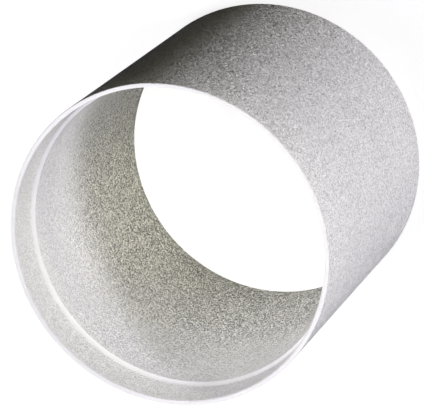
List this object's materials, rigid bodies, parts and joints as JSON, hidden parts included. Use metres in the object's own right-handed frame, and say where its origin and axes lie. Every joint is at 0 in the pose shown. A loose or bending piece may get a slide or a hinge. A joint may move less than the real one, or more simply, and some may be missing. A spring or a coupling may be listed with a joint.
{
  "type": "duct connector",
  "caption": "Short straight round duct connector: a plain metal tube with a shallow stepped socket inside the upper end and a plain lower end.",
  "frame": {"origin": "centre of the plain end, on the face that the tube stands on", "axes": "+Z along the tube's axis, from the plain end to the socket end; X and Y are equal, because the tube is round"},
  "size_m": [0.1, 0.1, 0.1],
  "materials": {
    "grained_metal": "fine-grained matte"
  },
  "bodies": {
    "root": {"duct_connector": "grained_metal"}
  },
  "joints": []
}
